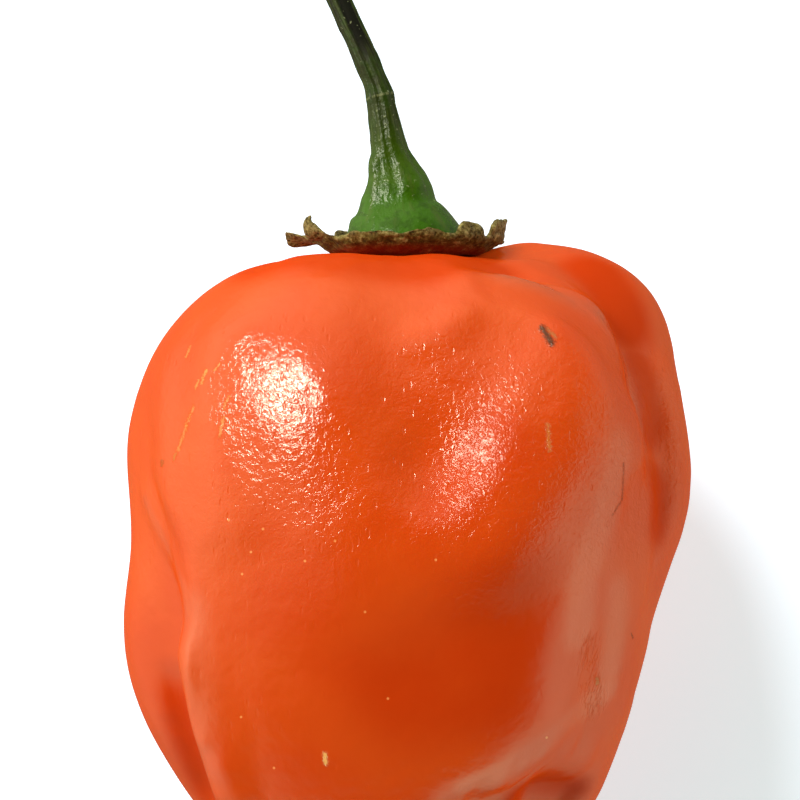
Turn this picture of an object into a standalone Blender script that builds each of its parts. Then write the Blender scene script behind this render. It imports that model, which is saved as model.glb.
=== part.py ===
"""A habanero-type chilli pepper, as picked, lying on its side on a flat surface.

Metres, +Z up. The stem points along +Y and the broad front lobe faces up. Three nodes: fruit, calyx and stem.
The pieces are modelled about the seat, the point on the fruit's axis where the calyx sits. The seat is an empty that
carries them, and it is then leant and placed so that the pepper lies on z = 0 with its box's middle over the origin.
"""

import math
from typing import NamedTuple

import bmesh
import bpy
from mathutils import Matrix, Vector
from mathutils.geometry import intersect_point_line

MM = 0.001


# ---------------------------------------------------------------- shared tools


def clear_scene():
    for obj in list(bpy.data.objects):
        bpy.data.objects.remove(obj)


def eased(at, stations):
    """The value at `at` on a smooth curve through stations, which are (place, value) pairs in rising order."""
    if at <= stations[0][0]:
        return stations[0][1]
    for (a, low), (b, high) in zip(stations, stations[1:]):
        if at <= b:
            share = (at - a) / (b - a)
            share = share * share * (3 - 2 * share)
            return low + (high - low) * share
    return stations[-1][1]


def hump(distance, reach):
    """1 at distance 0, falling smoothly to 0 at reach."""
    share = min(1.0, abs(distance) / reach)
    return (1 - share * share) ** 2


def give_material(piece, colour, roughness):
    material = bpy.data.materials.new(piece.name)
    material.use_nodes = True
    shader = material.node_tree.nodes["Principled BSDF"]
    shader.inputs["Base Color"].default_value = (*colour, 1)
    shader.inputs["Roughness"].default_value = roughness
    shader.inputs["Metallic"].default_value = 0
    piece.data.materials.append(material)


# ---------------------------------------------------------------- fruit


class Ring(NamedTuple):
    """One ring of the cage: its place along the axis, and how far it reaches each way from the axis, in mm."""

    y: float
    left: float
    right: float
    front: float
    back: float


RINGS = (
    Ring(-1.1, 3.2, 3.2, 3.2, 3.2),
    Ring(-0.6, 7.2, 7.6, 7.0, 7.0),
    Ring(-1.0, 11.8, 12.3, 11.0, 11.0),
    Ring(-3.6, 15.3, 16.0, 13.8, 14.2),
    Ring(-7.6, 18.1, 18.2, 16.1, 16.4),
    Ring(-12.8, 19.3, 19.3, 17.1, 17.6),
    Ring(-18.6, 19.3, 19.0, 17.1, 18.0),
    Ring(-24.8, 19.0, 16.1, 16.6, 17.8),
    Ring(-31.0, 18.1, 15.4, 15.2, 16.4),
    Ring(-36.8, 15.2, 13.2, 12.8, 13.6),
    Ring(-42.2, 11.6, 10.3, 9.6, 10.3),
    Ring(-46.2, 7.4, 7.0, 6.4, 6.8),
    Ring(-48.6, 3.6, 3.4, 3.2, 3.2),
)
STEM_POLE_Y = -1.2
TIP_POLE_Y = -48.7
SQUARENESS = 2.35  # 2 is an ellipse; more is a rounder box
CAGE_LEVELS = 2


class Fold(NamedTuple):
    """A fold between two lobes. Its angle round the axis is from the front, + to the right, and its depth is in mm.
    Both are given at latitudes. At the equator it falls away within `left_reach` degrees to its left and within
    `right_reach` to its right."""

    angles: tuple
    depths: tuple
    left_reach: float
    right_reach: float


HEART_Y = -20  # the fruit's middle: a latitude is the angle there, from 0 at the stem to 180 at the tip
NARROWEST = 0.4  # towards the poles a fold keeps its width in mm until the fruit is this share of its full width

RIGHT_FOLD = Fold(
    ((28, 40), (40, 46), (50, 52), (70, 59), (90, 60), (104, 59), (123, 54), (132, 40), (141, 24), (152, 16)),
    ((12, 0.1), (20, 0.3), (31, 1.4), (46, 2.7), (64, 2.9), (84, 1.7), (102, 0.8), (123, 1.0), (141, 2.0), (172, 0.5)),
    14,
    30,
)
BACK_FOLD = Fold(((0, 184), (180, 178)), ((8, 0.3), (25, 1.4), (60, 2.2), (90, 3.0), (140, 2.4), (172, 0.6)), 34, 34)
LEFT_FOLD = Fold(
    ((30, -80), (50, -74), (72, -66), (90, -58), (104, -58), (123, -59), (145, -64), (168, -66)),
    ((10, 0.1), (50, 0.4), (74, 1.1), (92, 1.9), (114, 2.9), (141, 3.3), (155, 2.2), (172, 0.6)),
    22,
    12,
)
FOLDS = (LEFT_FOLD, RIGHT_FOLD, BACK_FOLD)

FRONT_COLUMNS = 10
SIDE_COLUMNS = 7


class Stroke(NamedTuple):
    """A long swelling or hollow of the skin: the ends of its middle line, its reach each side and its rise, in mm."""

    start: tuple
    end: tuple
    reach: float
    rise: float


STROKES = (
    Stroke((11, 0, -4), (15, -2, -1), 9, 1.8),  # shoulder of the right lobe, the highest
    Stroke((-9, -5, 14), (-3, -20, 17), 8, 0.9),  # left swelling of the front lobe
    Stroke((10, -6, 14), (4, -19, 17), 6, 0.9),  # right swelling of the front lobe
    Stroke((0, -2, 10), (0, -12, 17), 5, -0.7),  # hollow between them, under the calyx
    Stroke((14, -18, 12), (12, -27, 12), 5, -0.7),  # hollow low on the front lobe's right wall
    Stroke((9, -37.5, 8), (11, -38.5, 6), 4.5, -1.6),  # dimple between the front lobe and the right one
    Stroke((-18, -25, -2), (-18.5, -27, -2), 8, 0.7),  # belly of the left lobe
    Stroke((-19, -19, 2), (-19, -20, -4), 7, -0.6),  # waist above it
    Stroke((17, -12, -6), (15, -25, -8), 6, -0.8),  # long hollow down the right lobe's flank
    Stroke((10, -1, -9), (14, -9, -12), 5, -1.0),  # crease over the right lobe's shoulder
    Stroke((-9, -1, -8), (-15, -9, -10), 5, -1.1),  # crease over the left lobe's shoulder
    Stroke((12, -35, -8), (5, -44, -6), 4.5, -1.0),  # crease down to the tip on the right lobe
    Stroke((-13, -32, -8), (-5, -44, -6), 4.5, -1.1),  # crease down to the tip on the left lobe
)


def latitude(spot):
    return math.degrees(math.atan2(math.hypot(spot.x, spot.z), spot.y - HEART_Y))


def column_angles(ring):
    """Where the cage's columns stand on this ring. Three of them run along the folds, and the rest crowd there."""
    place = latitude(Vector((ring.right, ring.y, 0)))
    left, right, back = (eased(place, fold.angles) for fold in FOLDS)
    sectors = ((left, right, FRONT_COLUMNS), (right, back, SIDE_COLUMNS), (back, left + 360, SIDE_COLUMNS))
    angles = []
    for start, end, count in sectors:
        for step in range(count):
            share = step / count
            share -= 0.10 * math.sin(2 * math.pi * share)
            angles.append(start + (end - start) * share)
    return angles


def cage_point(row, column):
    """Where the cage's vertex stands, in mm: row 0 is the stem pole, and the rings follow down to the tip pole."""
    if row == 0:
        return Vector((0, STEM_POLE_Y, 0))
    if row > len(RINGS):
        return Vector((0, TIP_POLE_Y, 0))
    ring = RINGS[row - 1]
    turn = math.radians(column_angles(ring)[column])
    across = math.sin(turn)
    up = math.cos(turn)
    side = ring.right if across > 0 else ring.left
    height = ring.front if up > 0 else ring.back
    radius = (abs(across / side) ** SQUARENESS + abs(up / height) ** SQUARENESS) ** (-1 / SQUARENESS)
    return Vector((radius * across, ring.y, radius * up))


def fold_depth(spot):
    """How far the folds draw this spot of the skin in, in mm."""
    depth = 0
    place = latitude(spot)
    spread = max(NARROWEST, math.sin(math.radians(place)))
    for fold in FOLDS:
        away = math.degrees(math.atan2(spot.x, spot.z)) - eased(place, fold.angles)
        away = (away + 180) % 360 - 180
        reach = fold.right_reach if away > 0 else fold.left_reach
        depth += eased(place, fold.depths) * hump(away, reach / spread)
    return depth


def stroke_rise(spot):
    """How far the strokes raise this spot of the skin, in mm."""
    rise = 0
    for stroke in STROKES:
        start = Vector(stroke.start)
        end = Vector(stroke.end)
        share = intersect_point_line(spot, start, end)[1]
        nearest = start.lerp(end, max(0, min(1, share)))
        rise += stroke.rise * hump((spot - nearest).length, stroke.reach)
    return rise


def raise_skin(mesh, rise):
    """Moves every point of the skin along its normal by rise(spot), all in mm."""
    mesh.normal_update()
    moves = [vert.normal * rise(vert.co / MM) * MM for vert in mesh.verts]
    for vert, move in zip(mesh.verts, moves):
        vert.co += move


def make_fruit():
    columns = FRONT_COLUMNS + 2 * SIDE_COLUMNS
    rows = len(RINGS) + 1
    bpy.ops.mesh.primitive_uv_sphere_add(segments=columns, ring_count=rows, radius=1)
    fruit = bpy.context.object
    fruit.name = "fruit"
    mesh = bmesh.new()
    mesh.from_mesh(fruit.data)
    for vert in mesh.verts:
        row = round(vert.co.angle(Vector((0, 0, 1))) / math.pi * rows)
        column = round(math.atan2(vert.co.y, vert.co.x) / (2 * math.pi) * columns) % columns
        vert.co = cage_point(row, column) * MM
    mesh.to_mesh(fruit.data)
    smooth = fruit.modifiers.new("smooth", "SUBSURF")
    smooth.levels = smooth.render_levels = CAGE_LEVELS
    bpy.ops.object.modifier_apply(modifier=smooth.name)
    mesh.clear()
    mesh.from_mesh(fruit.data)
    raise_skin(mesh, lambda spot: -fold_depth(spot))
    raise_skin(mesh, stroke_rise)
    mesh.to_mesh(fruit.data)
    mesh.free()
    fruit.data.shade_smooth()
    return fruit


# ---------------------------------------------------------------- calyx

CALYX_PROFILE = ((0, -0.5), (2.2, -0.5), (4.2, -0.45), (5.2, -0.2), (5.9, 0.2), (6.4, 0.7))  # radius and y, mm
CALYX_BEND = 4.2  # from this radius outwards, in mm, the teeth bend the dish
CALYX_WALL = 0.55 * MM
CALYX_STEPS = 40


class Tooth(NamedTuple):
    """One withered tooth of the calyx's margin: its angle from the front, half its width in degrees, and how far its
    tip stands out past the margin and up from it, in mm."""

    angle: float
    half_width: float
    out: float
    up: float


TEETH = (
    Tooth(-97, 15, 1.9, 0.3),
    Tooth(-68, 15, 1.1, 1.8),
    Tooth(2, 26, 0.2, 0.9),
    Tooth(66, 17, 0.6, 1.3),
    Tooth(100, 17, 0.5, 0.2),
    Tooth(150, 24, 0.6, 1.2),
    Tooth(-150, 26, 0.9, 0.8),
)


def turned(name, profile, steps):
    """An open surface turned about the Y axis from a profile of (radius, y) points, in mm."""
    data = bpy.data.meshes.new(name)
    mesh = bmesh.new()
    verts = [mesh.verts.new(Vector((radius, y, 0)) * MM) for radius, y in profile]
    for start, end in zip(verts, verts[1:]):
        mesh.edges.new((start, end))
    mesh.to_mesh(data)
    mesh.free()
    piece = bpy.data.objects.new(name, data)
    bpy.context.collection.objects.link(piece)
    screw = piece.modifiers.new("turn", "SCREW")
    screw.axis = "Y"
    screw.steps = screw.render_steps = steps
    screw.use_merge_vertices = True
    screw.merge_threshold = 0.00001
    bpy.context.view_layer.objects.active = piece
    bpy.ops.object.modifier_apply(modifier=screw.name)
    return piece


def make_calyx():
    calyx = turned("calyx", CALYX_PROFILE, CALYX_STEPS)
    margin = CALYX_PROFILE[-1][0]
    for vert in calyx.data.vertices:
        radius = math.hypot(vert.co.x, vert.co.z) / MM
        share = max(0, (radius - CALYX_BEND) / (margin - CALYX_BEND)) ** 2
        outward = Vector((vert.co.x, 0, vert.co.z)).normalized()
        angle = math.degrees(math.atan2(vert.co.x, vert.co.z))
        for tooth in TEETH:
            away = (angle - tooth.angle + 180) % 360 - 180
            point = share * hump(away, tooth.half_width) * MM
            vert.co += outward * tooth.out * point
            vert.co.y += tooth.up * point
    wall = calyx.modifiers.new("wall", "SOLIDIFY")
    wall.thickness = CALYX_WALL
    wall.offset = 1
    calyx.data.shade_smooth()
    return calyx


# ---------------------------------------------------------------- stem


class Station(NamedTuple):
    """One point of the stem's middle line and its radius there, in mm."""

    x: float
    y: float
    z: float
    radius: float


STEM = (
    Station(-0.2, 0.35, 0.0, 3.2),
    Station(-0.2, 1.6, 0.0, 3.2),
    Station(-0.4, 3.5, 0.1, 2.6),
    Station(-0.6, 4.9, 0.2, 2.15),
    Station(-1.1, 6.3, 0.3, 1.6),
    Station(-1.5, 8.2, 0.4, 1.15),
    Station(-1.9, 10.2, 0.4, 1.0),
    Station(-2.4, 11.9, 0.3, 0.85),
    Station(-3.4, 14.3, 0.0, 0.85),
    Station(-4.6, 17.0, -0.4, 0.83),
    Station(-6.0, 19.7, -0.9, 0.85),
    Station(-7.7, 22.3, -1.4, 0.9),
    Station(-9.5, 24.6, -1.8, 1.1),
    Station(-10.0, 25.2, -1.9, 1.2),
)


def make_stem():
    line = bpy.data.curves.new("stem", "CURVE")
    line.dimensions = "3D"
    line.bevel_depth = MM
    line.bevel_resolution = 3
    line.use_fill_caps = True
    spline = line.splines.new("POLY")
    spline.points.add(len(STEM) - 1)
    for point, station in zip(spline.points, STEM):
        point.co = (station.x * MM, station.y * MM, station.z * MM, 1)
        point.radius = station.radius
    stem = bpy.data.objects.new("stem", line)
    bpy.context.collection.objects.link(stem)
    spline.use_smooth = True
    return stem


# ---------------------------------------------------------------- setting down

# How far the whole pepper leans about X and about Y when it lies on its two side lobes, in degrees.
REST_PITCH = 2.7
REST_ROLL = 0.1
REST_PATCH = 0.2 * MM  # how deep the skin is flat where it rests

FRUIT_COLOUR = (0.72, 0.075, 0.008)
CALYX_COLOUR = (0.11, 0.07, 0.025)
STEM_COLOUR = (0.06, 0.13, 0.02)


def flatten_underside(fruit, down):
    """Cuts the lowest skin off level, and returns how far below the seat the cut is."""
    mesh = bmesh.new()
    mesh.from_mesh(fruit.data)
    drop = max(vert.co.dot(down) for vert in mesh.verts) - REST_PATCH
    parts = mesh.verts[:] + mesh.edges[:] + mesh.faces[:]
    cut = bmesh.ops.bisect_plane(
        mesh, geom=parts, dist=0.0001 * MM, plane_co=down * drop, plane_no=down, clear_outer=True
    )
    rims = [part for part in cut["geom_cut"] if isinstance(part, bmesh.types.BMEdge)]
    for patch in bmesh.ops.holes_fill(mesh, edges=rims)["faces"]:
        patch.smooth = False
    mesh.to_mesh(fruit.data)
    mesh.free()
    return drop


def box_middle(pieces):
    """The middle of the pieces' common box."""
    bpy.context.view_layer.update()
    shaped = bpy.context.evaluated_depsgraph_get()
    spots = []
    for piece in pieces:
        solid = piece.evaluated_get(shaped)
        spots += [solid.matrix_world @ vert.co for vert in solid.to_mesh().vertices]
        solid.to_mesh_clear()
    return [(min(spot[axis] for spot in spots) + max(spot[axis] for spot in spots)) / 2 for axis in range(3)]


def set_down(seat, fruit, pieces):
    for piece in pieces:
        piece.parent = seat
    seat.rotation_euler = (math.radians(REST_PITCH), math.radians(REST_ROLL), 0)
    down = seat.rotation_euler.to_matrix().transposed() @ Vector((0, 0, -1))
    drop = flatten_underside(fruit, down)
    middle = box_middle(pieces)
    seat.location = (-middle[0], -middle[1], drop)


clear_scene()
pepper = bpy.data.collections.new("chilli_pepper")
bpy.context.scene.collection.children.link(pepper)
layers = bpy.context.view_layer.layer_collection
bpy.context.view_layer.active_layer_collection = layers.children[pepper.name]
seat = bpy.data.objects.new("seat", None)
pepper.objects.link(seat)
fruit = make_fruit()
calyx = make_calyx()
stem = make_stem()
give_material(fruit, FRUIT_COLOUR, 0.25)
give_material(calyx, CALYX_COLOUR, 0.75)
give_material(stem, STEM_COLOUR, 0.45)
set_down(seat, fruit, (fruit, calyx, stem))
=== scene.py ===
import math
from random import Random

import bmesh
import bpy
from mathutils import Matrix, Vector


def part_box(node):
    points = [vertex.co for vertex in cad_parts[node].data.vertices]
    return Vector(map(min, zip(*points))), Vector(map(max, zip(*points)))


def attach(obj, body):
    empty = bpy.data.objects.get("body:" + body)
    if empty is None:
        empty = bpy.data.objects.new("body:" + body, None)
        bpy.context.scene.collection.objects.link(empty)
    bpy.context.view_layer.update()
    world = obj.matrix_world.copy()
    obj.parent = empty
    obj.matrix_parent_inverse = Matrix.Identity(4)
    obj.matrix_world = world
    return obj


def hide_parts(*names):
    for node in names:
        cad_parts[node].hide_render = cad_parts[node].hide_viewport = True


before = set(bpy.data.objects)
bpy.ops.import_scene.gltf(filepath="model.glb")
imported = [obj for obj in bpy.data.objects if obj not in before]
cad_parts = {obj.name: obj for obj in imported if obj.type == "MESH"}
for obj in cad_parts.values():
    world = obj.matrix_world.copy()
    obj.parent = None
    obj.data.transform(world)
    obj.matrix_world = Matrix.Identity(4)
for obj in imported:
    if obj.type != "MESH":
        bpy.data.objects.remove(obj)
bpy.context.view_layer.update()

bpy.ops.object.select_all(action="DESELECT")


# The camera hangs over the pepper as it lies on its side, in line with the pod's own
# lean, and is close enough that the pod's tip and the stalk's end fall outside the view.

MM = 0.001
CAMERA_PLACE = Vector((-0.069, -7.284, 199.836)) * MM
POD_LEAN = (math.radians(2.7), math.radians(0.1), 0.0)
CAMERA_LENS = 123.8
CAMERA_NEAR = 10 * MM

bpy.ops.object.camera_add(location=CAMERA_PLACE, rotation=POD_LEAN)
camera = bpy.context.object
camera.data.lens = CAMERA_LENS
camera.data.clip_start = CAMERA_NEAR
bpy.context.scene.camera = camera


# The pod is one hollow grown fruit with a thin, tight, waxy skin. Its walls swell
# between three folds, and the skin over them has dried into a fine ripple.

POD_COLUMN_LEVEL = 1
POD_SKIN_LEVEL = 1
# A stroke is a route and a reach in mm, and how far it raises the skin there in mm, or
# None where it only smooths the skin.
POD_STROKES = (
    # The top is full under the calyx, and the right lobe's shoulder stands up beside it.
    (((0.2, 10.6, 16.7),), 8.0, 0.6),
    (((5.2, 11.1, 15.6), (7.5, 11.3, 14.0)), 2.6, 0.4),
    (((-6.5, 9.7, 24.9), (-2.3, 9.8, 25.2), (1.5, 9.9, 24.3), (4.6, 10.5, 20)), 3.0, 0.35),
    # The right swelling's crest, and the hollow between it and the left one.
    (((12.9, 4.3, 27), (12.4, 0.8, 29.5), (10.6, -3.0, 31), (6.4, -8.5, 33)), 5.0, 0.7),
    (((6.3, 4.2, 31), (4.8, 0.4, 32), (1.6, -4.2, 33)), 3.5, -0.5),
    (((7.5, 2.0, 32), (6.5, -1.9, 33), (4.9, -4.3, 33.3), (1.8, -7.0, 33.5)), 1.9, 0.14),
    # The left swelling is broad and almost flat, with its edge out by the left wall.
    (((-11.0, 3.9, 29), (-11.5, -1.0, 29.5), (-10.8, -6.7, 30.5)), 3.5, 0.35),
    (((-9.5, 2.0, 31.4), (-7.6, -1.4, 32.5), (-5.6, -4.0, 33)), 3.2, None),
    # Small bosses near the top, and a dent beside the right swelling's crest.
    (((0.6, 4.2, 31), (1.4, 4.9, 31)), 1.8, 0.26),
    (((3.0, 5.0, 30.8), (3.4, 5.8, 30.5)), 1.6, 0.22),
    (((9.7, 0.9, 31.7), (9.9, -0.3, 31.7)), 1.5, 0.16),
    (((8.9, 4.9, 30.7),), 1.0, 0.1),
    (((8.6, 0.3, 32),), 1.4, -0.12),
    # The right swelling's wall stands out over a valley, with a low ridge beyond it.
    (((12.4, 5.4, 25.5), (13.5, 2.6, 26), (14.0, 0.0, 26.5), (14.0, -2.0, 26.5)), 3.2, 1.0),
    (((17.3, 3.0, 19.8), (17.5, -1.5, 19.5), (17.3, -5.0, 20.4), (16.6, -8.5, 21.4)),
     1.6, 0.3),
    (((16.3, 0.0, 21.4), (16.4, -3.0, 21.6), (16.2, -6.0, 22.4)), 1.6, -0.3),
    (((8.0, 10.0, 20.5), (9.6, 8.6, 23.2), (11.0, 7.3, 24.0)), 2.4, 0.5),
    # That wall's foot is eased out, so that it rounds over without a hard edge.
    (((15.0, -4.2, 24.0), (14.6, -7.5, 24.8), (14.0, -11.0, 25)), 3.2, 0.45),
    (((15.4, -3.5, 23.2), (15.0, -6.0, 24.0), (14.4, -9.5, 25)), 1.6, None),
    # Between the crest and the right lobe the skin is filled up and smoothed to one rim.
    (((8.0, 7.4, 26.8), (9.8, 6.8, 25.2), (11.4, 5.8, 24.3)), 2.6, 0.9),
    (((7.0, 7.8, 27.5), (9.0, 7.2, 26), (11.0, 6.0, 25)), 3.0, None),
    (((6.6, 8.4, 26.8), (9.0, 7.6, 26.6), (11.2, 6.2, 26.0), (12.8, 4.2, 25.8)), 2.2, 0.5),
    (((6.5, 8.0, 27.5), (9.3, 7.0, 27.6), (11.5, 5.5, 27.0), (13.0, 3.8, 26)), 2.4, None),
    # The right lobe itself, and the pod's side below it, stand a little fuller.
    (((17.9, 0.5, 18.6), (18.2, -3.0, 18.6), (17.9, -6.0, 19.2)), 4.0, 0.32),
    (((15.3, -15.0, 19.4), (14.3, -18.7, 19.6)), 3.0, 0.3),
    (((13.6, -14.5, 23.2), (13.2, -18.5, 22.0)), 3.6, 0.4),
    # A dimple low on the right, under a raised lip.
    (((8.6, -24.6, 22.6), (10.4, -24.8, 21)), 2.5, -1.0),
    (((6.0, -23.0, 26.3), (8.6, -21.4, 25.5), (11.2, -21.8, 23)), 1.5, 0.5),
    # The left wall slopes away broadly, with a fine ridge above and a crease below it.
    (((-15.5, -7.0, 23), (-14.4, -11.0, 25), (-13.8, -16.0, 24), (-13.2, -20.0, 22.5),
      (-12.4, -23.5, 20)), 3.4, None),
    (((-16.6, -5.0, 22.8), (-14.4, -9.2, 25.7), (-13.4, -12.0, 27)), 1.3, 0.22),
    (((-14.9, -17.0, 21.5), (-14.3, -21.0, 20), (-13.0, -24.6, 17.5)), 1.5, -0.35),
    (((-13.0, -15.5, 26.3), (-12.7, -20.0, 25.5), (-12.2, -24.5, 24.2)), 3.4, 1.1),
    (((-11.6, -14.5, 29), (-11.3, -19.5, 28)), 2.2, None),
)
SMOOTHING = 26
MERGE_REACH = 0.001 * MM
ONE_VERTEX = 0.75   # of the longest edge at a vertex: reaches that vertex and no other
RIPPLE_SIZES = ((2.6 * MM, 0.035 * MM), (0.9 * MM, 0.012 * MM))


def take_up(part):
    """Leaves this part alone selected and active."""
    bpy.ops.object.select_all(action="DESELECT")
    part.select_set(True)
    bpy.context.view_layer.objects.active = part


def fit(part, kind, **settings):
    """Gives the part a modifier with these settings, and applies it."""
    take_up(part)
    modifier = part.modifiers.new(kind.lower(), kind)
    for name, value in settings.items():
        setattr(modifier, name, value)
    bpy.ops.object.modifier_apply(modifier=modifier.name)


def merged_copy(node, name):
    """A copy of a CAD node with its loose triangles merged into quads."""
    copy = bpy.data.objects.new(name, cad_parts[node].data.copy())
    copy.data.materials.clear()
    bpy.context.scene.collection.objects.link(copy)
    take_up(copy)
    bpy.ops.mesh.customdata_custom_splitnormals_clear()
    bpy.ops.object.mode_set(mode="EDIT")
    bpy.ops.mesh.select_all(action="SELECT")
    bpy.ops.mesh.remove_doubles(threshold=MERGE_REACH)
    bpy.ops.mesh.tris_convert_to_quads(face_threshold=math.pi, shape_threshold=math.pi)
    bpy.ops.object.mode_set(mode="OBJECT")
    return copy


def ripple(part, size, height):
    """Raises and sinks the whole surface in soft clouds of this size."""
    clouds = bpy.data.textures.new("ripple", "CLOUDS")
    clouds.noise_scale = size
    clouds.noise_depth = 1
    fit(part, "DISPLACE", texture=clouds, texture_coords="LOCAL",
        strength=height, mid_level=0.5)


def gap_to(point, start, end):
    """How far a point is from the straight line between two others."""
    run = end - start
    share = (point - start).dot(run) / run.length_squared if run.length else 0.0
    return (point - start.lerp(end, min(1.0, max(0.0, share)))).length


def edit_near(part, route, reach=None):
    """Selects the skin near a route, in edit mode: within reach, or one vertex wide."""
    on_skin = [part.closest_point_on_mesh(Vector(spot) * MM)[1] for spot in route]
    legs = list(zip(on_skin, on_skin[1:] or on_skin))
    take_up(part)
    bpy.ops.object.mode_set(mode="EDIT")
    bpy.ops.mesh.select_all(action="DESELECT")
    mesh = bmesh.from_edit_mesh(part.data)
    if reach is None:
        nearest = min(mesh.verts, key=lambda v: (v.co - on_skin[0]).length)
        reach = ONE_VERTEX * max(edge.calc_length() for edge in nearest.link_edges)
    for vert in mesh.verts:
        if min(gap_to(vert.co, start, end) for start, end in legs) < reach:
            vert.select_set(True)
    bpy.ops.mesh.select_mode(type="VERT")
    bmesh.update_edit_mesh(part.data)


def stroke(part, route, reach, rise):
    """Raises or sinks the skin along a route, fading to nothing over this reach."""
    edit_near(part, route)
    bpy.ops.transform.shrink_fatten(
        value=rise * MM, use_proportional_edit=True,
        proportional_edit_falloff="SMOOTH", proportional_size=reach * MM)
    bpy.ops.object.mode_set(mode="OBJECT")


pod = merged_copy("fruit", "pepper_pod")
fit(pod, "SUBSURF", levels=POD_COLUMN_LEVEL, render_levels=POD_COLUMN_LEVEL)
for route, reach, rise in POD_STROKES:
    if rise is None:
        edit_near(pod, route, reach * MM)
        bpy.ops.mesh.vertices_smooth(factor=0.5, repeat=SMOOTHING)
        bpy.ops.object.mode_set(mode="OBJECT")
    else:
        stroke(pod, route, reach, rise)
fit(pod, "SUBSURF", levels=POD_SKIN_LEVEL, render_levels=POD_SKIN_LEVEL)
for size, height in RIPPLE_SIZES:
    ripple(pod, size, height)
take_up(pod)
bpy.ops.object.shade_smooth()


class Wire:
    """One socket in a material. Sums on wires add Math nodes; node() adds any other."""

    def __init__(self, tree, socket=None):
        self.tree = tree
        self.socket = socket

    def node(self, kind, settings=None, inputs=None, output=0):
        made = self.tree.nodes.new("ShaderNode" + kind)
        for name, value in (settings or {}).items():
            if name == "stops":
                stops = made.color_ramp.elements
                stops.remove(stops[1])
                stops[0].position, stops[0].color = value[0]
                for at, tint in value[1:]:
                    stops.new(at).color = tint
            else:
                setattr(made, name, value)
        for name, value in (inputs or {}).items():
            if isinstance(value, Wire):
                self.tree.links.new(value.socket, made.inputs[name])
            else:
                made.inputs[name].default_value = value
        return Wire(self.tree, made.outputs[output] if made.outputs else None)

    def math(self, operation, *values):
        return self.node("Math", {"operation": operation}, dict(enumerate(values)))

    def __add__(self, other):
        return self.math("ADD", self, other)

    def __sub__(self, other):
        return self.math("SUBTRACT", self, other)

    def __rsub__(self, other):
        return self.math("SUBTRACT", other, self)

    def __mul__(self, other):
        return self.math("MULTIPLY", self, other)

    __radd__ = __add__
    __rmul__ = __mul__

    def ease(self, low, high, kind="SMOOTHSTEP"):
        """0 below low, 1 above high, and a soft step between them."""
        return self.node("MapRange", {"interpolation_type": kind},
                         {"Value": self, "From Min": low, "From Max": high})

    def mix(self, first, second):
        """The first colour where this wire is 0, and the second where it is 1."""
        return self.node("Mix", {"data_type": "RGBA"}, {0: self, 6: first, 7: second}, 2)

    def ramp(self, *stops):
        """The colour at this wire's height on a ramp of (height, colour) stops."""
        return self.node("ValToRGB", {"stops": stops}, {0: self})

    def vector(self, operation, other):
        """One Vector Math node on this wire and another vector."""
        gives_number = operation in ("DOT_PRODUCT", "DISTANCE")
        return self.node("VectorMath", {"operation": operation}, {0: self, 1: other},
                         int(gives_number))

    def along(self, axis):
        """This vector's X, Y or Z."""
        return self.node("SeparateXYZ", {}, {0: self}, "XYZ".index(axis))

    def bump(self, depth, on_top_of=None):
        """A bump as high as this wire says, up to a depth, on top of another or none."""
        inputs = {"Height": self, "Distance": depth, "Strength": 1.0}
        if on_top_of is not None:
            inputs["Normal"] = on_top_of
        return self.node("Bump", {}, inputs)


def new_material(name):
    """An empty material: a wire to its nodes, and its place on the surface."""
    material = bpy.data.materials.new(name)
    material.use_nodes = True
    material.node_tree.nodes.clear()
    wire = Wire(material.node_tree)
    return material, wire.node("TexCoord", output=3)


def finish_material(surface, inputs=None):
    """Sends a surface, or a Principled one with these inputs, to the output."""
    shader = surface.node("BsdfPrincipled", {}, inputs) if inputs else surface
    surface.node("OutputMaterial", {}, {"Surface": shader})


def colour(red, green, blue):
    """A linear colour from the three numbers of a screen colour, 0 to 255."""
    return tuple(((v / 255 + 0.055) / 1.055) ** 2.4 for v in (red, green, blue)) + (1.0,)


def noise(place, per_mm, detail=2.0, roughness=0.5, **more):
    """Soft random clouds over the surface, with this many to a millimetre."""
    return place.node("TexNoise", {}, {"Vector": place, "Scale": per_mm / MM,
                                       "Detail": detail, "Roughness": roughness, **more})


# The wax is thin in the pod's creases and hollows, and thick on the edges of its
# walls. Where it is thin the flesh is painted darker too, as painted shade, mostly in
# the creases and valleys, low in the middle and under the calyx. A zone is a route,
# its inner and outer reach in mm, and the share of the wax that it loses or gains.
# A cracked zone says how deep its cracks are instead.
WAX_SHARE = 0.42
THIN_WAX_AND_SHADE = (
    (((12.5, 9.6, 19.7), (14.25, 6.33, 21.4)), 1.2, 3.6, 0.9),
    (((14.9, 3.3, 22.0), (15.9, -0.6, 21.8)), 0.7, 2.4, 0.7),
    (((16.15, -4.4, 22.6), (15.9, -7.0, 22.7)), 0.5, 2.4, 0.75),
    (((-0.4, -17.7, 30.9), (5.0, -16.5, 30.5), (6.2, -11.0, 31.5)), 1.0, 5.5, 0.7),
    (((-15.0, -18.5, 20.8), (-14.3, -21.3, 19.5), (-13.4, -25.0, 17)), 0.2, 2.4, 0.9),
    (((7.2, -24.4, 23.9), (11.0, -24.7, 20.5)), 0.6, 2.2, 0.9),
    (((-4.5, 9.9, 25.4), (-1.0, 10.2, 25.2), (5.0, 10.8, 20)), 0.6, 2.0, 0.9),
    (((3.0, -5.5, 33.2), (5.5, -1.5, 32.5)), 0.8, 3.2, 0.5),
    (((-9.0, 10.0, 24.0), (-4.0, 9.6, 26.0), (1.0, 9.6, 26.5), (5.0, 9.8, 24)),
     1.2, 3.6, 0.75),
)
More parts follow.
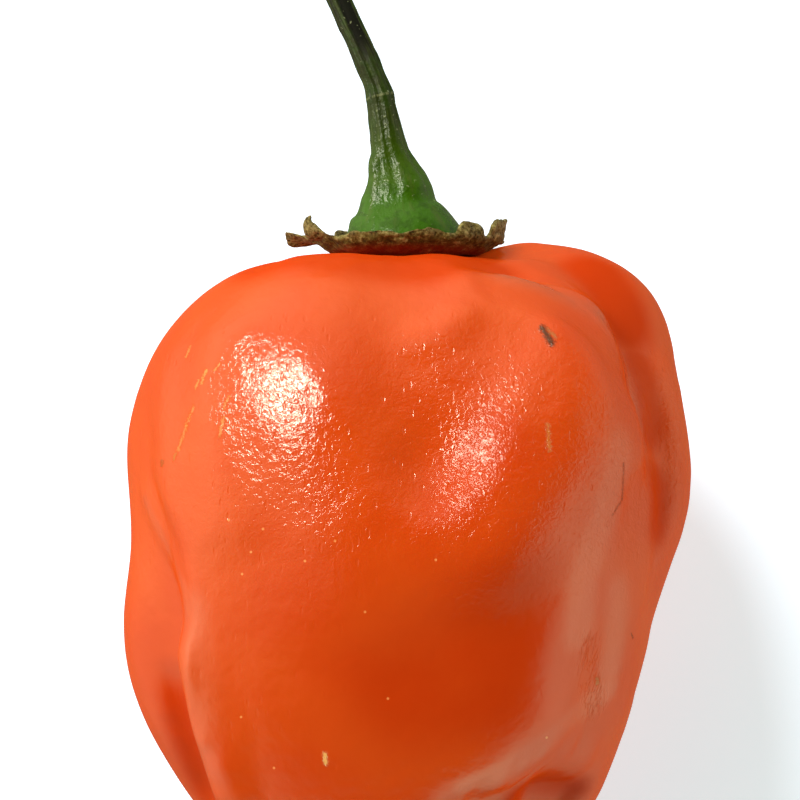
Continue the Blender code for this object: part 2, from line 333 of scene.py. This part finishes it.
BLOOM = (
    (((12.9, -2.4, 29.6), (12.0, -6.7, 29.5), (10.9, -10.4, 29.5), (10.8, -13.5, 28.4)),
     0.6, 2.0, 0.35),
    (((12.7, -17.3, 23.8), (10.3, -19.3, 26.6), (7.1, -21.6, 27.5), (4.0, -23.3, 28.1)),
     0.4, 1.5, 0.4),
    (((5.0, 9.2, 25.4), (6.4, 8.6, 27.0), (8.5, 8.1, 26.7), (11.0, 7.1, 26.1),
      (12.6, 6.0, 25.1), (13.7, 4.5, 23.8), (14.4, 2.4, 23.5), (15.2, -0.8, 23)),
     0.1, 1.9, 0.85),
    (((-16.6, -5.4, 23), (-14.4, -9.2, 25.7), (-13.4, -11.6, 28.3)), 0.1, 0.8, 0.4),
    (((-13.4, -12.5, 28), (-12.6, -17.0, 27.5), (-12.0, -21.5, 26)), 0.5, 2.4, 0.5),
    (((13.2, -11.0, 26.3), (13.0, -16.0, 24.5)), 0.4, 1.8, 0.35),
    (((15.2, 5.3, 21.0), (15.4, 4.6, 21.0)), 0.2, 1.0, 0.3),
)
CRACKED = (
    (((11.3, -14.6, 27.2), (11.9, -16.6, 26.3), (12.3, -18.6, 24.8)), 0.0, 1.9, 0.9),
)
FLESH_RED = (0.63, 0.055, 0.004, 1.0)
FLESH_ORANGE = (0.66, 0.07, 0.006, 1.0)
# Painted shade: the darker flesh colour laid into the thin-wax zones.
FLESH_PAINTED_SHADE = (0.42, 0.022, 0.0015, 1.0)
SCUFFS = (  # start, end and half width in mm, colour, strength
    ((8.42, 5.15), (8.95, 4.2), 0.24, (78, 36, 20), 0.95),
    ((8.75, 5.05), (9.2, 4.6), 0.12, (176, 110, 60), 0.6),
    ((8.62, -0.9), (8.72, -2.45), 0.12, (206, 124, 50), 0.6),
    ((-13.85, 3.6), (-13.6, 4.25), 0.07, (250, 170, 90), 0.4),
    ((-12.7, 1.8), (-12.4, 2.6), 0.09, (250, 176, 96), 0.5),
    ((-14.2, -2.3), (-13.7, -0.9), 0.1, (236, 160, 84), 0.38),
    ((-13.7, -0.8), (-13.2, 0.3), 0.09, (246, 166, 88), 0.38),
    ((-13.1, 1.5), (-12.9, 2.0), 0.06, (250, 176, 96), 0.4),
    ((-11.45, -1.5), (-11.2, -0.4), 0.09, (250, 180, 104), 0.4),
    ((-11.2, 0.2), (-10.9, 0.9), 0.08, (250, 180, 104), 0.4),
    ((-11.9, 2.5), (-11.5, 3.0), 0.07, (250, 180, 104), 0.4),
    ((-14.5, -2.9), (-14.35, -2.5), 0.08, (190, 130, 60), 0.5),
    ((-15.3, -3.2), (-15.3, -3.0), 0.12, (140, 80, 20), 0.5),
    ((-5.0, -21.1), (-4.95, -21.7), 0.13, (252, 204, 120), 0.7),
    ((13.5, -3.2), (13.46, -5.4), 0.045, (130, 46, 16), 0.4),
    ((13.46, -5.4), (12.8, -6.4), 0.045, (130, 46, 16), 0.4),
    ((12.1, -16.7), (12.15, -17.0), 0.12, (196, 130, 70), 0.6),
    ((14.4, -13.9), (14.5, -14.2), 0.05, (110, 50, 20), 0.6),
)
SCUFF_EDGES = (0.2, 1.5)   # in half widths: where a mark starts to fade and where it ends
SCUFF_RAGGED = 0.6         # mm that an edge wanders, or 7 half widths where that is less
SPECKS = (  # pale flecks in the skin, in mm
    (-10.87, -6.69), (-8.72, -7.24), (-9.49, -8.65), (-6.13, -9.18),
    (-10.06, -10.0), (-4.29, -7.96), (-2.48, -12.26), (-10.22, -18.88),
    (-8.2, -22.07), (8.77, -20.22), (1.8, -9.1), (-1.1, -17.6))
SPECK_SIZE = 0.11 * MM
SPECK_PALE = (255, 176, 104)
MARKS_LOW, MARKS_HIGH = 14 * MM, 17 * MM   # the marks fade out below the pod's upper side
PIT_SPACING = (1.6, 0.55, 1.0)   # pits per mm; they are long across the pod's belly
PIT_DEPTH = 0.028 * MM
DIMPLE_DEPTH = 0.05 * MM
WAVE_DEPTH = 0.045 * MM
CRACK_STRETCH = (1, 0.22, 1)
CRACK_DEPTH = 0.09 * MM
MARK_DEPTH = 0.06 * MM
SOFT_WAVE_DEPTH = 0.03 * MM


def off(place, start, end):
    """How far a point is from the straight line between two others, all in metres."""
    run = Vector(end) - Vector(start)
    from_start = place.vector("SUBTRACT", start)
    share = from_start.vector("DOT_PRODUCT", run / run.length_squared)
    nearest = from_start.node("VectorMath", {"operation": "SCALE"},
                              {0: tuple(run), "Scale": share.ease(0.0, 1.0, "LINEAR")})
    return from_start.vector("DISTANCE", nearest)


def patch(place, zones):
    """How much of some zones a point is in: 0 outside them all, and up to their shares."""
    most = None
    for route, inner, outer, share in zones:
        for start, end in zip(route, route[1:]):
            gap = off(place, Vector(start) * MM, Vector(end) * MM)
            here = (1 - gap.ease(inner * MM, outer * MM)) * share
            most = here if most is None else most.math("MAXIMUM", most, here)
    return most


def rising(wire, low, high, kept):
    """A share that is only what is kept below low, and 1 above high, both in mm."""
    return wire.ease(low * MM, high * MM) * (1 - kept) + kept


def falling(wire, low, high, lost):
    """A share that is 1 below low, and has lost this much above high, both in mm."""
    return 1 - wire.ease(low * MM, high * MM) * lost


pod_skin, place = new_material("pod_skin")
across, lengthways, upward = (place.along(axis) for axis in "XYZ")
thin_wax_and_shade = patch(place, THIN_WAX_AND_SHADE)
bloom = patch(place, BLOOM)
flesh = noise(place, 0.12).ease(0.3, 0.7).mix(FLESH_RED, FLESH_ORANGE)
# Painted shade: the flesh is darkened in the thin-wax zones, in creases, valleys and under
# the calyx.
flesh = (thin_wax_and_shade * 0.6).mix(flesh, FLESH_PAINTED_SHADE)

# Marks in the skin are placed as seen from above.
plan = place.vector("MULTIPLY", (1, 1, 0))
on_top = upward.ease(MARKS_LOW, MARKS_HIGH)
crumble = noise(place, 7.0, 3.0, 0.7) - 0.5
marks = []
for start, end, half_width, shade, strength in SCUFFS:
    gap = off(plan, Vector((*start, 0)) * MM, Vector((*end, 0)) * MM)
    gap = gap + crumble * min(SCUFF_RAGGED, 7 * half_width) * MM
    inner, outer = (half_width * edge * MM for edge in SCUFF_EDGES)
    marks.append((1 - gap.ease(inner, outer)) * on_top)
    flesh = (marks[-1] * strength).mix(flesh, colour(*shade))
gaps = [plan.vector("DISTANCE", Vector((*spot, 0)) * MM) for spot in SPECKS]
specks = sum(1 - gap.ease(0.4 * SPECK_SIZE, SPECK_SIZE) for gap in gaps) * on_top
flesh = (specks * 0.55).mix(flesh, colour(*SPECK_PALE))

# The pits and dimples are plainest on the shoulders and die out towards both ends.
pits = place.node("TexVoronoi", {}, {
    "Vector": place.vector("MULTIPLY", [n / MM for n in PIT_SPACING]), "Scale": 1.0})
pits = (pits.ease(0.1, 0.2)
        * rising(lengthways, -14, -5, 0.25) * falling(lengthways, 4, 8, 0.8))
dimples = (noise(place, 2.8, 2.5, 0.6, Distortion=0.9)
           * (1 + across.ease(-1 * MM, 5 * MM) * 0.6)
           * falling(lengthways, 3, 8, 0.7) * rising(lengthways, -15, -6, 0.2))
waves = noise(place, 1.0, 1.0)
cracks = noise(place.vector("MULTIPLY", CRACK_STRETCH), 2.6, 2.0, 0.6)
cracks = cracks.ease(0.42, 0.6) * patch(place, CRACKED)
grain = None
for height, depth in ((dimples, DIMPLE_DEPTH), (waves, WAVE_DEPTH), (pits, PIT_DEPTH),
                      (cracks, CRACK_DEPTH), (sum(marks), MARK_DEPTH)):
    grain = height.bump(depth, grain)
under_skin = place.node("BsdfPrincipled", {}, {
    "Base Color": flesh, "Roughness": 0.6, "Normal": waves.bump(SOFT_WAVE_DEPTH),
    "Specular IOR Level": 0.0, "Subsurface Weight": 0.1,
    "Subsurface Radius": (1.0, 0.2, 0.05), "Subsurface Scale": 1.0 * MM})
wax = place.node("BsdfPrincipled", {}, {
    "Base Color": flesh, "Roughness": 0.14, "Normal": grain, "IOR": 2.5})
wax_share = WAX_SHARE + bloom * (1 - WAX_SHARE)
finish_material(place.node("MixShader", {}, {
    0: wax_share - wax_share * thin_wax_and_shade, 1: under_skin, 2: wax}))
pod.data.materials.append(pod_skin)
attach(pod, "root")
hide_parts("fruit")


# The calyx is the dry, woody dish that the flower left round the stalk. It hugs the
# pod's top; its margin has torn into teeth, and two on the left curl into prongs.

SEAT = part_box("fruit")[0] + Vector((19.06, 48.66, 16.67)) * MM
DISH_COLUMNS = 96
DISH_RINGS = (  # radius and height above the seat, in mm, from the stalk outwards
    (2.2, -0.3), (3.2, -0.3), (4.1, -0.27), (4.8, -0.15), (5.3, 0.05), (5.7, 0.28),
    (6.0, 0.5), (6.25, 0.72))
DISH_WALL = 0.22 * MM
# A tooth is its angle from the front, its half width in columns and its twist at each
# step, both angles in degrees. A step is how far it goes out and up in mm, and its scale.
DISH_TEETH = (
    (-100, 3, 12, ((0.5, 0.0, 0.85), (0.6, 0.0, 0.9), (0.6, 0.1, 0.9), (0.35, 0.1, 0.8),
                   (0.1, 0.15, 0.6))),
    (-66, 5, 8, ((0.3, 0.05, 0.75), (0.3, 0.2, 0.65), (0.3, 0.35, 0.6), (0.1, 0.4, 0.6),
                 (-0.15, 0.3, 0.55))),
    (-23, 5, 0, ((0.1, 0.2, 0.8), (0.05, 0.1, 0.6))),
    (12, 4, 0, ((0.1, 0.3, 0.7), (0.0, 0.15, 0.6))),
    (40, 3, 0, ((0.05, 0.35, 0.85), (-0.1, 0.4, 0.8), (-0.1, 0.15, 0.6))),
    (79, 6, 0, ((0.1, 0.35, 0.95), (0.1, 0.35, 0.9), (0.05, 0.35, 0.85), (0.0, 0.2, 0.8))),
    (112, 2, 0, ((0.4, 0.0, 0.9), (0.25, 0.1, 0.8))),
    (136, 3, 0, ((0.2, 0.4, 0.8), (0.2, 0.5, 0.6))),
    (176, 5, 0, ((0.2, 0.5, 0.8), (0.2, 0.5, 0.6))),
    (-142, 5, 0, ((0.2, 0.5, 0.8), (0.25, 0.4, 0.7))),
)
DISH_JITTER = 0.07 * MM
DISH_RUMPLES = ((1.7 * MM, 0.45 * MM), (0.6 * MM, 0.13 * MM), (0.28 * MM, 0.06 * MM))
HUSK_STOPS = ((0.36, (36, 30, 2)), (0.46, (72, 58, 16)), (0.54, (100, 88, 38)),
              (0.64, (156, 146, 94)))
HUSK_POD_REFLECTION = (136, 42, 5)     # painted red reflection of the pod on the calyx's underside
POD_REFLECTION_LOW, POD_REFLECTION_HIGH = SEAT.y - 0.4 * MM, SEAT.y + 0.1 * MM
HUSK_EDGE = (158, 142, 96)
EDGE_INNER, EDGE_OUTER = 6.1 * MM, 6.7 * MM
HUSK_DEPTH = 0.2 * MM


def set_on_seat(part):
    """Moves a part that was made upright along +Y to the seat on the leaning pod."""
    take_up(part)
    part.location = SEAT
    part.rotation_euler = POD_LEAN
    bpy.ops.object.transform_apply(location=True, rotation=True, scale=True)


def select_verts(part, wanted):
    """Selects the vertices with these numbers, in edit mode."""
    bpy.ops.mesh.select_all(action="DESELECT")
    mesh = bmesh.from_edit_mesh(part.data)
    mesh.verts.ensure_lookup_table()
    for number in wanted:
        mesh.verts[number].select_set(True)
    mesh.select_flush(True)
    bmesh.update_edit_mesh(part.data)


def extrude_ring(move, widen, middle):
    """Extrudes what is selected by a move, and scales it about its new middle."""
    bpy.ops.mesh.extrude_region_move(TRANSFORM_OT_translate={"value": move})
    bpy.ops.transform.resize(value=(widen, widen, widen), center_override=middle)


bpy.ops.mesh.primitive_circle_add(vertices=DISH_COLUMNS, radius=DISH_RINGS[0][0] * MM,
                                  location=(0, DISH_RINGS[0][1] * MM, 0),
                                  rotation=(-math.pi / 2, 0, 0))
dish = bpy.context.object
dish.name = "pepper_calyx"
bpy.ops.object.transform_apply(location=True, rotation=True, scale=True)
bpy.ops.object.mode_set(mode="EDIT")
bpy.ops.mesh.select_all(action="SELECT")
for (old_radius, old_height), (radius, height) in zip(DISH_RINGS, DISH_RINGS[1:]):
    extrude_ring((0, (height - old_height) * MM, 0), radius / old_radius,
                 (0, height * MM, 0))
margin = (len(DISH_RINGS) - 1) * DISH_COLUMNS
for angle, half_width, twist, steps in DISH_TEETH:
    way = Vector((math.sin(math.radians(angle)), 0, math.cos(math.radians(angle))))
    mesh = bmesh.from_edit_mesh(dish.data)
    mesh.verts.ensure_lookup_table()
    ring = mesh.verts[margin:margin + DISH_COLUMNS]
    nearest = max(ring, key=lambda vert: vert.co.dot(way)).index - margin
    middle = ring[nearest].co.copy()
    tooth = [margin + (nearest + k) % DISH_COLUMNS
             for k in range(-half_width, half_width + 1)]
    select_verts(dish, tooth)
    for out, up, narrow in steps:
        move = (way * out + Vector((0, up, 0))) * MM
        middle += move
        extrude_ring(move, narrow, middle)
        bpy.ops.transform.rotate(value=math.radians(twist), orient_axis="X",
                                 orient_type="GLOBAL", center_override=middle)
bpy.ops.mesh.select_all(action="SELECT")
bpy.ops.transform.vertex_random(offset=DISH_JITTER, uniform=1.0, normal=0.0, seed=4)
bpy.ops.object.mode_set(mode="OBJECT")
fit(dish, "SOLIDIFY", thickness=DISH_WALL, offset=0.0)
fit(dish, "SUBSURF", levels=2, render_levels=2)
for size, height in DISH_RUMPLES:
    ripple(dish, size, height)
set_on_seat(dish)
bpy.ops.object.shade_smooth()

husk, place = new_material("dry_husk")
lumps = noise(place, 1.6, 4.0, 0.65)
fibres = noise(place, 5.0, 3.0, 0.6)
crumbs = lumps * 0.6 + fibres * 0.4
dry = crumbs.ramp(*((height, colour(*shade)) for height, shade in HUSK_STOPS))
# Painted reflection: low on the underside, by the pod, the husk is painted red as the pod's
# light thrown back onto it.
pod_reflection = 1 - place.along("Y").ease(POD_REFLECTION_LOW, POD_REFLECTION_HIGH)
dry = (pod_reflection * 0.8).mix(dry, colour(*HUSK_POD_REFLECTION))
out = place.vector("MULTIPLY", (1, 0, 1)).vector("DISTANCE", (SEAT.x, 0, SEAT.z))
edge = out.ease(EDGE_INNER, EDGE_OUTER) * fibres.ease(0.35, 0.6)
dry = (edge * 0.5).mix(dry, colour(*HUSK_EDGE))
finish_material(place, {"Base Color": dry, "Roughness": 0.75,
                        "Normal": crumbs.bump(HUSK_DEPTH), "Specular IOR Level": 0.25})
dish.data.materials.append(husk)
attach(dish, "root")
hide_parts("calyx")


# The stalk is one ribbed stem, bright green and swollen at its foot. It narrows to
# a dark woody shaft past an old joint, bends away, and ends where it was snapped off.

STALK_COLUMNS = 40
STALK_RINGS = (  # middle and radius, in mm, from inside the calyx to the snapped end
    (-0.1, -0.6, 0.0, 3.9), (-0.1, 0.4, 0.0, 4.1), (-0.15, 1.2, 0.0, 3.95),
    (-0.24, 1.95, 0.0, 3.55), (-0.61, 2.6, 0.05, 2.88), (-0.57, 3.25, 0.1, 2.43),
    (-0.58, 3.95, 0.15, 2.32), (-0.7, 4.7, 0.2, 2.02), (-0.92, 5.42, 0.25, 1.68),
    (-1.13, 6.1, 0.3, 1.48), (-1.28, 6.8, 0.35, 1.29), (-1.38, 7.45, 0.37, 1.21),
    (-1.5, 8.1, 0.4, 1.13), (-1.62, 8.75, 0.4, 1.07), (-1.73, 9.55, 0.4, 0.97),
    (-1.83, 10.1, 0.4, 0.95), (-1.88, 10.3, 0.4, 0.99), (-1.93, 10.5, 0.4, 0.93),
    (-2.02, 10.85, 0.38, 0.89), (-2.24, 11.45, 0.33, 0.86), (-2.5, 12.1, 0.28, 0.88),
    (-2.81, 12.8, 0.2, 0.87), (-3.08, 13.4, 0.1, 0.84), (-3.38, 14.1, 0.0, 0.83),
    (-4.0, 15.45, -0.2, 0.8), (-4.6, 16.8, -0.4, 0.82), (-5.3, 18.3, -0.7, 0.83),
    (-6.0, 19.7, -0.9, 0.85), (-6.85, 21.05, -1.15, 0.86), (-7.7, 22.3, -1.4, 0.9),
    (-8.6, 23.5, -1.6, 1.0), (-9.3, 24.35, -1.75, 1.12), (-9.7, 24.85, -1.83, 1.15))
STALK_END = ((0.0, 0.8), (-0.25, 0.85), (-0.2, 0.6))   # its hollow face: step in mm, scale
STALK_GROOVE = 0.08    # the deepest that a chance groove sinks a column, in mm
STALK_FURROWS = (3, 11, 19, 26, 34)   # columns of the five plain furrows between its ribs
FURROW_DEPTH = 0.11    # mm
FURROW_FROM = 6        # the ring above the foot where they start
FOOT_RINGS = (3, 10)
FOOT_SWELL = (  # a flattened side of the foot: column, and how far it stands out in mm
    (10, 0.1), (11, 0.25), (12, 0.36), (13, 0.46), (14, 0.44), (15, 0.32), (16, 0.16),
    (18, -0.03), (19, -0.06), (20, -0.08), (21, -0.06), (22, -0.03))
STALK_RUMPLES = ((1.6 * MM, 0.12 * MM), (0.5 * MM, 0.04 * MM))
JOINT_RING = 16
STALK_LENGTH = 28.0    # mm, over which its colours run
STALK_STOPS = ((0.0, (50, 96, 0)), (0.14, (52, 94, 0)), (0.22, (54, 82, 4)),
               (0.33, (36, 50, 0)), (0.5, (30, 34, 0)), (1.0, (20, 22, 0)))
STALK_BLOT = (34, 62, 0)
STALK_STREAK = (76, 88, 36)
STALK_FURROW_DARK = (8, 8, 2)
STALK_RIGHT_SIDE_DARK = (4, 3, 1)
STALK_JOINT = (120, 126, 88)
STALK_FLECK = (150, 158, 120)
STALK_DEPTH = 0.12 * MM

draw = Random(11)
stations = [Vector(ring[:3]) * MM for ring in STALK_RINGS]
radii = [ring[3] for ring in STALK_RINGS]
bpy.ops.mesh.primitive_circle_add(vertices=STALK_COLUMNS, radius=radii[0] * MM,
                                  fill_type="NGON", location=stations[0],
                                  rotation=(-math.pi / 2, 0, 0))
stalk = bpy.context.object
stalk.name = "pepper_stalk"
bpy.ops.object.transform_apply(location=True, rotation=True, scale=True)
bpy.ops.object.mode_set(mode="EDIT")
bpy.ops.mesh.select_all(action="SELECT")
lean = 0.0
for number in range(1, len(stations)):
    extrude_ring(stations[number] - stations[number - 1],
                 radii[number] / radii[number - 1], stations[number])
    after = stations[min(number + 1, len(stations) - 1)] - stations[number - 1]
    new_lean = math.atan2(after.x, after.y) if number > 3 else 0.0
    bpy.ops.transform.rotate(value=new_lean - lean, orient_axis="Z", orient_type="GLOBAL",
                             center_override=stations[number])
    lean = new_lean
last = len(stations) - 1
tip_way = (stations[-1] - stations[-2]).normalized()
for step, narrow in STALK_END:
    extrude_ring(tip_way * step * MM, narrow, stations[-1])
for column in range(STALK_COLUMNS):
    start = draw.randint(3, 9)
    end = draw.randint(start + 4, last)
    select_verts(stalk, [ring * STALK_COLUMNS + column for ring in range(start, end)])
    bpy.ops.transform.shrink_fatten(value=-STALK_GROOVE * draw.random() * MM)
for column in STALK_FURROWS:
    select_verts(stalk, [ring * STALK_COLUMNS + column + side
                         for ring in range(FURROW_FROM, last) for side in (0, 1)])
    bpy.ops.transform.shrink_fatten(value=-FURROW_DEPTH * MM)
for column, swell in FOOT_SWELL:
    select_verts(stalk, [ring * STALK_COLUMNS + column for ring in range(*FOOT_RINGS)])
    bpy.ops.transform.shrink_fatten(value=swell * MM)
bpy.ops.object.mode_set(mode="OBJECT")

# Each point keeps its direction round the stalk and its distance along it in mm.
lie = stalk.data.attributes.new("stalk_lie", "FLOAT_VECTOR", "POINT")
distances = [0.0]
for first, second in zip(stations, stations[1:]):
    distances.append(distances[-1] + (second - first).length / MM)
for vert in stalk.data.vertices:
    ring = min(vert.index // STALK_COLUMNS, last)
    turn = 2 * math.pi * (vert.index % STALK_COLUMNS) / STALK_COLUMNS
    lie.data[vert.index].vector = (-math.sin(turn), -math.cos(turn), distances[ring])
fit(stalk, "SUBSURF", levels=2, render_levels=2)
for size, height in STALK_RUMPLES:
    ripple(stalk, size, height)
set_on_seat(stalk)
bpy.ops.object.shade_smooth()

stalk_skin, place = new_material("stalk_skin")
lie = place.node("Attribute", {"attribute_name": "stalk_lie"}, output=1)
up = lie.along("Z")
streaks = lie.node("TexNoise", {}, {"Vector": lie.vector("MULTIPLY", (1.0, 1.0, 0.12)),
                                    "Scale": 5.0, "Detail": 4.0})
blots = noise(place, 0.9, 3.0, 0.6)
flecks = noise(place, 3.2, 2.0, 0.6)
green = (up * (1 / STALK_LENGTH)).ramp(
    *((height, colour(*shade)) for height, shade in STALK_STOPS))
side = lie.along("X") + (streaks - 0.5) * 0.5
# Near-black, and rougher, from the middle to the right-hand side of the shaft beyond the
# joint.
right_side_dark = side.ease(-0.35, -0.1) * (1 - side.ease(0.7, 0.95)) * up.ease(13.2, 15.5)
from_joint = up.math("ABSOLUTE", up - distances[JOINT_RING])
for share, shade in (
        (blots.ease(0.45, 0.62) * 0.5, STALK_BLOT),
        (streaks.ease(0.5, 0.75) * 0.5, STALK_STREAK),
        ((1 - streaks.ease(0.3, 0.45)) * up.ease(9.0, 14.0) * 0.8, STALK_FURROW_DARK),
        (right_side_dark * 0.95, STALK_RIGHT_SIDE_DARK),
        ((1 - from_joint.ease(0.04, 0.12)) * streaks.ease(0.35, 0.55) * 0.6, STALK_JOINT),
        (flecks.ease(0.66, 0.76) * 0.6, STALK_FLECK)):
    green = share.mix(green, colour(*shade))
knobs = streaks * 0.5 + flecks * 0.5
finish_material(place, {
    "Base Color": green, "Roughness": up.ease(7.0, 14.0) * 0.3 + right_side_dark * 0.35 + 0.25,
    "Normal": knobs.bump(STALK_DEPTH), "Specular IOR Level": 0.4})
stalk.data.materials.append(stalk_skin)
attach(stalk, "root")
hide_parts("stem")


# The floor is one sheet of pale paper that gives back a little light of its own.

FLOOR_SIZE = 2.0
PAPER = (0.75, 0.85, 0.97, 1.0)
PAPER_GLOW = (0.82, 0.94, 1.0, 1.0)
PAPER_GLOW_STRENGTH = 0.67

bpy.ops.mesh.primitive_plane_add(size=FLOOR_SIZE)
floor = bpy.context.object
floor.name = "floor"
paper, place = new_material("paper")
finish_material(place, {
    "Base Color": PAPER, "Roughness": 1.0, "Specular IOR Level": 0.0,
    "Emission Color": PAPER_GLOW, "Emission Strength": PAPER_GLOW_STRENGTH})
floor.data.materials.append(paper)
floor.visible_glossy = False


# The lamps are soft boxes round the pepper. The key lamp at the upper left makes the
# highlights, and the others only fill its shadows. The floor has a lamp to itself.

PEPPER_MIDDLE = (0, 0, 0.015)
WARM = (1.0, 0.9, 0.75)
KEY_LENGTH = 0.32


def lit_only(name, parts):
    """A collection of the parts that a lamp may light, or that may shade it."""
    group = bpy.data.collections.new(name)
    for part in parts:
        group.objects.link(part)
    return group


def lamp(name, place, aim, size, power, tint, lit, glossy=False):
    """A round soft box that lights only the parts in one collection."""
    bpy.ops.object.light_add(type="AREA", location=place)
    light = bpy.context.object
    light.name = name
    light.rotation_euler = (Vector(aim) - Vector(place)).to_track_quat("-Z", "Y").to_euler()
    light.data.shape = "DISK"
    light.data.size = size
    light.data.energy = power
    light.data.color = tint
    light.visible_glossy = glossy
    light.light_linking.receiver_collection = lit
    return light


lit_pepper = lit_only("lit_pepper", (pod, dish, stalk))
lit_floor = lit_only("lit_floor", (floor,))
key_lamp = lamp("key_lamp", (-0.41, 0.27, 0.55), PEPPER_MIDDLE, 0.16, 3.05,
                (1.0, 1.0, 0.8), lit_pepper, glossy=True)
key_lamp.data.shape = "ELLIPSE"
key_lamp.data.size_y = KEY_LENGTH
key_lamp.light_linking.blocker_collection = lit_only("shade_pepper", (pod, stalk))
lamp("soft_lamp", (-0.28, 0.42, 0.58), PEPPER_MIDDLE, 0.4, 3.0, (1.0, 0.94, 0.82),
     lit_pepper)
lamp("low_lamp", (0.62, -0.2, 0.2), PEPPER_MIDDLE, 0.5, 1.7, WARM, lit_pepper)
side_lamp = lamp("side_lamp", (-0.62, 0.05, 0.2), PEPPER_MIDDLE, 0.4, 0.5, WARM, lit_pepper)
side_lamp.data.use_shadow = False
lamp("floor_lamp", (-0.28, 0.5, 0.46), (0, 0, 0), 0.25, 6.0, (1.0, 1.0, 1.0), lit_floor,
     glossy=True)


# The studio round them is a pale band at eye height, with a window up on the left.
# The band is brightest at the lower right and dims at the upper right and underfoot.

STUDIO_TINT = (1.0, 0.98, 0.62, 1.0)
BAND = 0.44
BAND_LEFT = 0.16
BAND_LOWER_RIGHT = 0.54
WINDOW = 0.7
STUDIO_DIM = 0.03

world = bpy.data.worlds.new("studio")
bpy.context.scene.world = world
world.use_nodes = True
toward = Wire(world.node_tree).node("TexCoord", output=0)
height, window, left, upper_right, lower_right = (
    toward.vector("DOT_PRODUCT", way)
    for way in ((0, 0, 1), (-0.62, 0.62, 0.48), (-1, 0, 0), (0.7, 0.7, 0),
                (0.85, -0.52, 0)))
below = 0 - height
band = (BAND + left.ease(0.1, 0.9) * BAND_LEFT
        + lower_right.ease(0.0, 0.7) * BAND_LOWER_RIGHT)
band = band * (1 - upper_right.ease(0.3, 0.95) * 0.45)
underfoot = ((1 - below.ease(0.0, 0.5) * lower_right.ease(0.0, 0.5) * 0.35)
             * (1 - below.ease(0.4, 0.9) * 0.5))
glow = ((1 - height.ease(0.1, 0.6)) * band * underfoot
        + window.ease(0.2, 1.0) * WINDOW + STUDIO_DIM) * (1 - height.ease(0.8, 0.97))
backdrop = world.node_tree.nodes["Background"]
backdrop.inputs["Color"].default_value = STUDIO_TINT
world.node_tree.links.new(glow.socket, backdrop.inputs["Strength"])

bpy.context.scene.view_settings.view_transform = "Standard"
